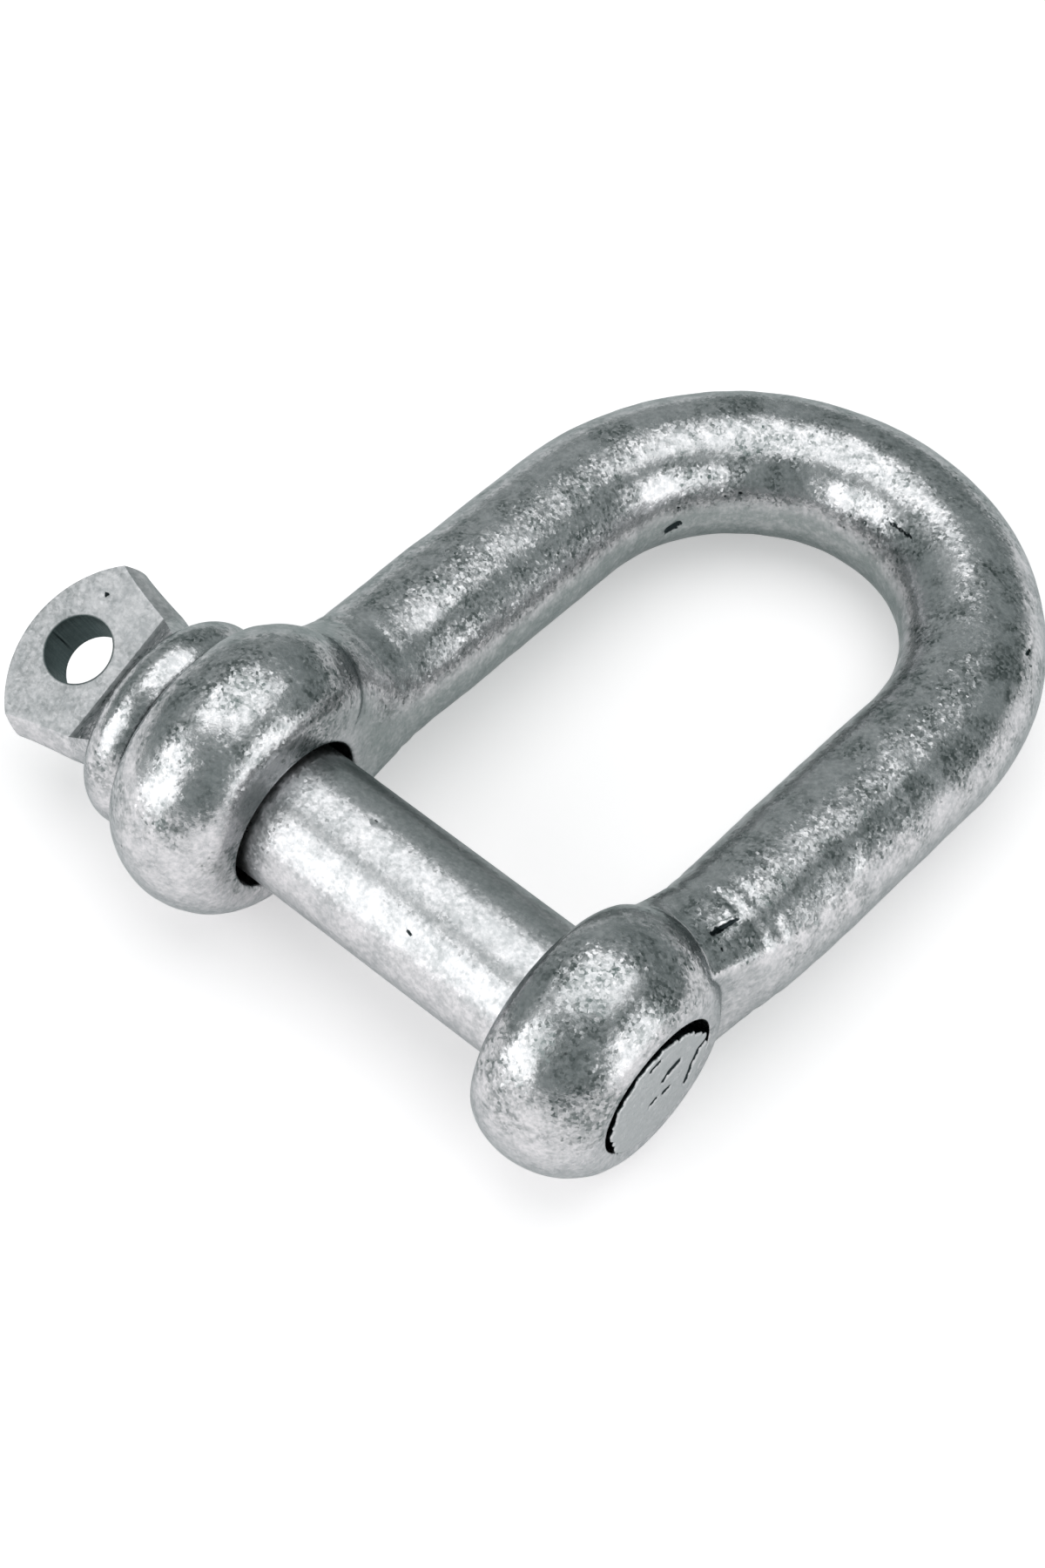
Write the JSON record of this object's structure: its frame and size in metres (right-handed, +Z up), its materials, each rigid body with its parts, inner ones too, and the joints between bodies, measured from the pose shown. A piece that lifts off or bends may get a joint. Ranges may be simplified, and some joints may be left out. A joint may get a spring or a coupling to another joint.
{
  "type": "screw pin d-shackle",
  "caption": "D-shackle: a forged round-bar bow with two barrel eyes, closed by a screw pin with a bead collar and a flat, drilled fan head.",
  "frame": {"origin": "on the pin's axis, halfway between the two eyes", "axes": "+X along the pin from its drilled head to its threaded tip, +Y from the pin towards the bow, +Z up from the surface the shackle lies on"},
  "size_m": [0.0661, 0.0791, 0.0249],
  "materials": {
    "galvanised_body": "hot-dip galvanised forged steel, satin with mottled bright and dark zinc patches",
    "galvanised_pin": "hot-dip galvanised forged steel, matte pale grey head and satin shank"
  },
  "bodies": {
    "shackle_body": {"shackle_body": "galvanised_body"},
    "screw_pin": {"screw_pin": "galvanised_pin"}
  },
  "joints": [
    {"name": "pin_withdraw", "type": "slide", "parent": "shackle_body", "child": "screw_pin", "axis": [-1, 0, 0], "range_m": [0, 0.075]}
  ]
}
